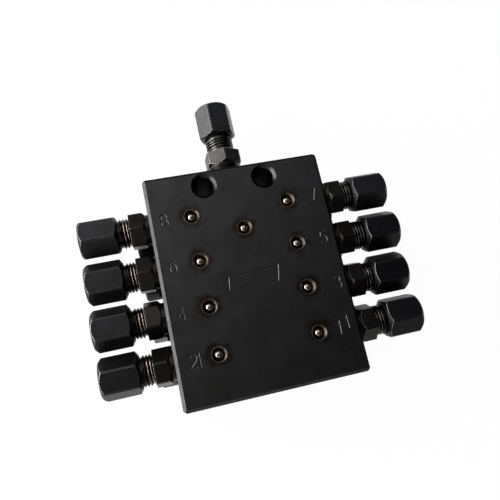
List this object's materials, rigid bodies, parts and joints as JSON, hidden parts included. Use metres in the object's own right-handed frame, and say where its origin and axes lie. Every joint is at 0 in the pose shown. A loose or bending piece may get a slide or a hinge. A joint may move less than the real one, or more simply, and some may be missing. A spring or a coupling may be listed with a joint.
{
  "type": "lubricant divider block",
  "caption": "Drilled black steel block that shares a grease feed among side outlets with tube nuts, fed by a fitting on the end, with through holes for bolting down.",
  "frame": {"origin": "centre of the flat mounting face at the back of the block", "axes": "+Z out of the front face, +Y towards the inlet fitting, +X towards the odd-numbered outlets"},
  "size_m": [0.1064, 0.1042, 0.03],
  "materials": {
    "block_steel": "black oxide, satin",
    "ball_steel": "polished, oily",
    "piston_steel": "ground",
    "plug_steel": "black oxide",
    "washer_steel": "soft bare steel",
    "fitting_steel": "black phosphate, oiled",
    "nut_steel": "black oxide, oiled",
    "ring_steel": "zinc plated"
  },
  "bodies": {
    "divider": {"block": "block_steel", "ball_plugs": "ball_steel", "gallery_ball": "ball_steel", "piston_plug_1": "plug_steel", "piston_plug_2": "plug_steel", "piston_plug_3": "plug_steel", "piston_plug_4": "plug_steel", "piston_plug_5": "plug_steel", "piston_plug_6": "plug_steel", "piston_plug_7": "plug_steel", "piston_plug_8": "plug_steel", "plug_washer_1": "washer_steel", "plug_washer_2": "washer_steel", "plug_washer_3": "washer_steel", "plug_washer_4": "washer_steel", "plug_washer_5": "washer_steel", "plug_washer_6": "washer_steel", "plug_washer_7": "washer_steel", "plug_washer_8": "washer_steel", "inlet_washer": "washer_steel", "outlet_body_1": "fitting_steel", "outlet_body_2": "fitting_steel", "outlet_body_3": "fitting_steel", "outlet_body_4": "fitting_steel", "outlet_body_5": "fitting_steel", "outlet_body_6": "fitting_steel", "outlet_body_7": "fitting_steel", "outlet_body_8": "fitting_steel", "inlet_body": "fitting_steel", "outlet_nut_1": "nut_steel", "outlet_nut_2": "nut_steel", "outlet_nut_3": "nut_steel", "outlet_nut_4": "nut_steel", "outlet_nut_5": "nut_steel", "outlet_nut_6": "nut_steel", "outlet_nut_7": "nut_steel", "outlet_nut_8": "nut_steel", "inlet_nut": "nut_steel", "cutting_ring_1": "ring_steel", "cutting_ring_2": "ring_steel", "cutting_ring_3": "ring_steel", "cutting_ring_4": "ring_steel", "cutting_ring_5": "ring_steel", "cutting_ring_6": "ring_steel", "cutting_ring_7": "ring_steel", "cutting_ring_8": "ring_steel", "inlet_cutting_ring": "ring_steel"},
    "piston_1": {"piston_1": "piston_steel"},
    "piston_2": {"piston_2": "piston_steel"},
    "piston_3": {"piston_3": "piston_steel"},
    "piston_4": {"piston_4": "piston_steel"}
  },
  "joints": [
    {"name": "piston_1_slide", "type": "slide", "parent": "divider", "child": "piston_1", "axis": [1, 0, 0], "range_m": [0, 0.006]},
    {"name": "piston_2_slide", "type": "slide", "parent": "divider", "child": "piston_2", "axis": [-1, 0, 0], "range_m": [0, 0.006]},
    {"name": "piston_3_slide", "type": "slide", "parent": "divider", "child": "piston_3", "axis": [1, 0, 0], "range_m": [0, 0.006]},
    {"name": "piston_4_slide", "type": "slide", "parent": "divider", "child": "piston_4", "axis": [-1, 0, 0], "range_m": [0, 0.006]}
  ]
}
